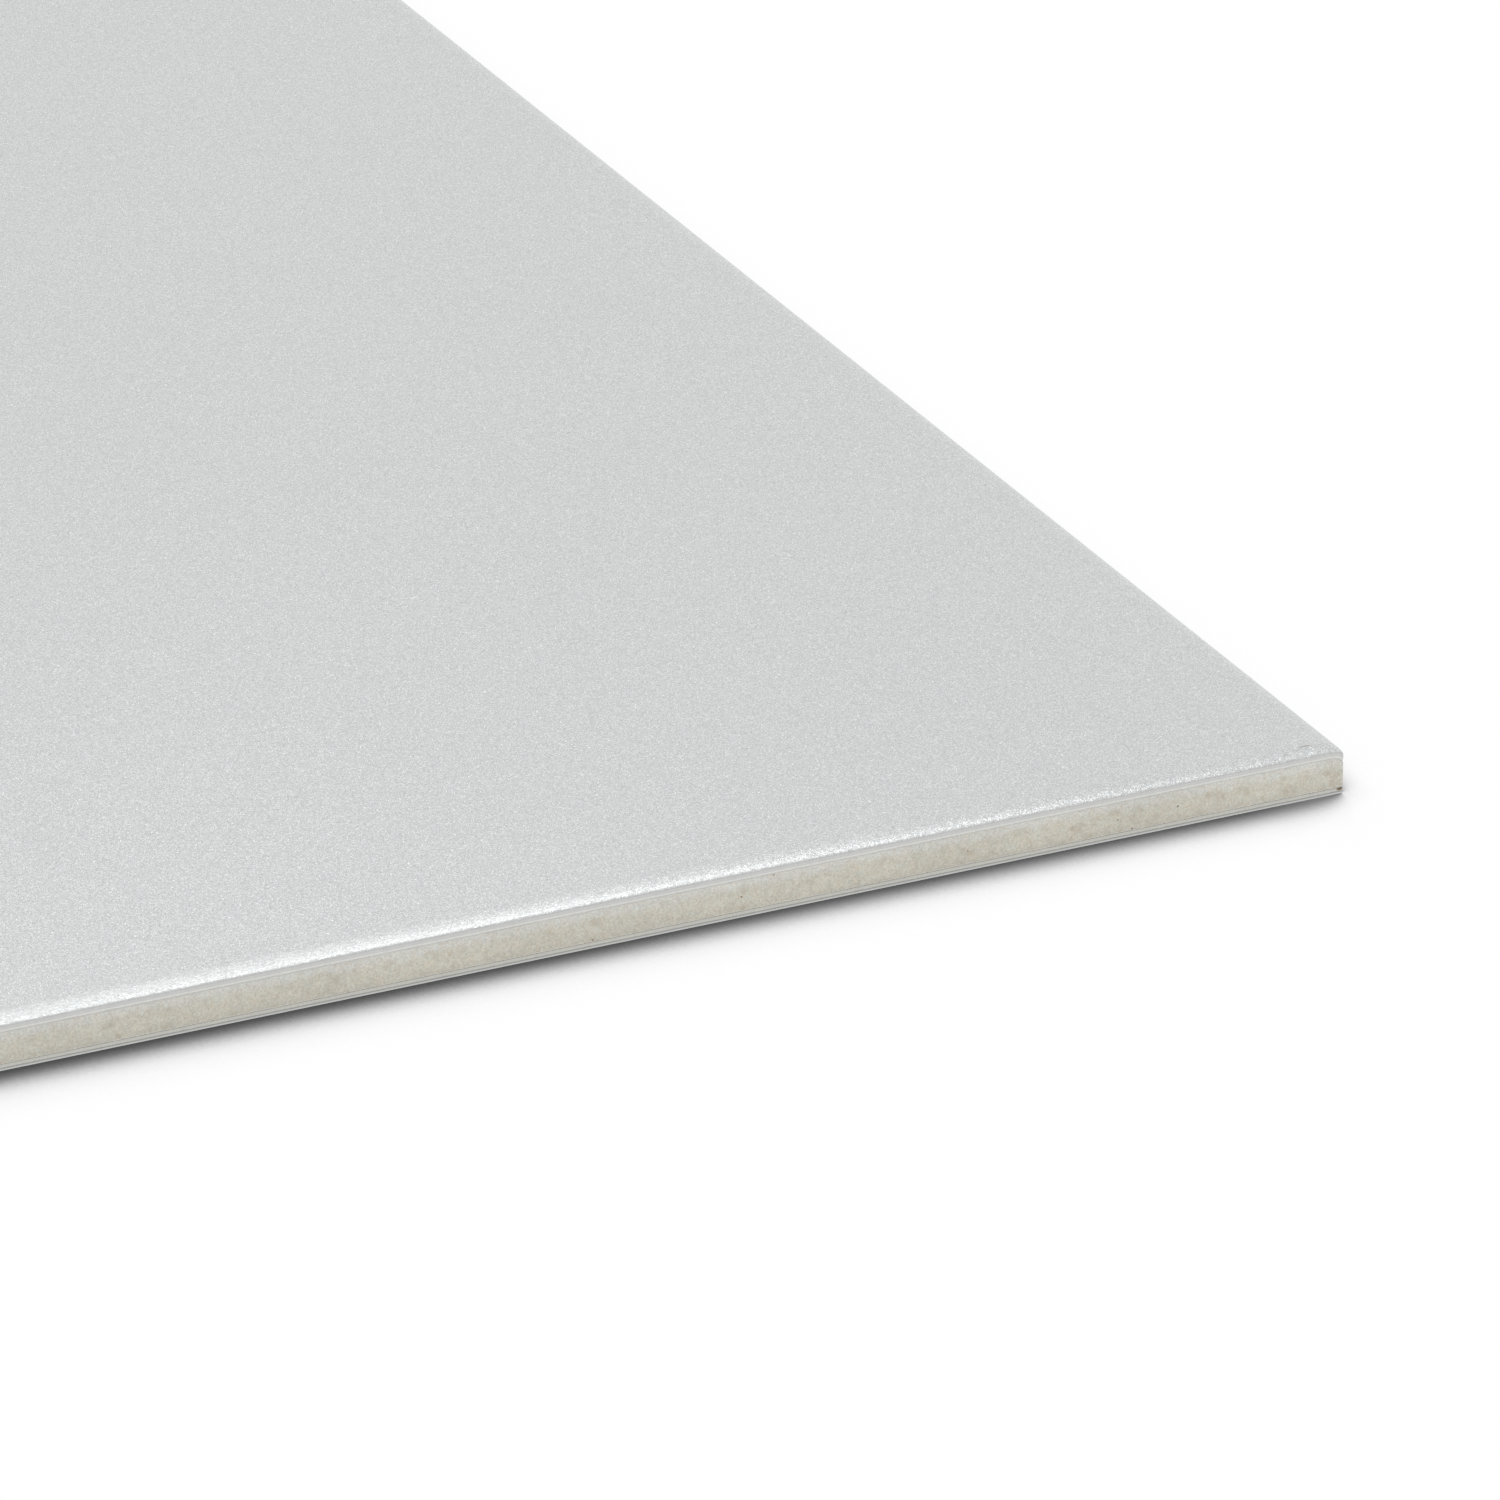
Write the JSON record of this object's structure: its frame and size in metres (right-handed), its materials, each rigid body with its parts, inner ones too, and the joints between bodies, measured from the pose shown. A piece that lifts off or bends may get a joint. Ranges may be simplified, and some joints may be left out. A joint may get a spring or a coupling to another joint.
{
  "type": "aluminium composite panel",
  "caption": "Flat sandwich sheet of aluminium skins on a mineral-filled core, silver metallic face, sheared edges with rolled-over face skin.",
  "frame": {"origin": "centre of the sheet, on the plane of its back", "axes": "+X along the sheet's length, +Y along its width, +Z through its thickness, out of the coated face"},
  "size_m": [0.5, 0.25, 0.004],
  "materials": {
    "face_skin": "coil coated, fine silver metallic, satin; bare at the sheared cut",
    "back_skin": "thin grey service coat, matt; bare at the sheared cut",
    "mineral_core": "mineral-filled polyethylene, beige-grey, mottled and matt where it is cut",
    "bond_film": "thin grey adhesive film"
  },
  "bodies": {
    "root": {"back_skin": "back_skin", "back_bond_film": "bond_film", "core": "mineral_core", "face_bond_film": "bond_film", "face_skin": "face_skin"}
  },
  "joints": []
}
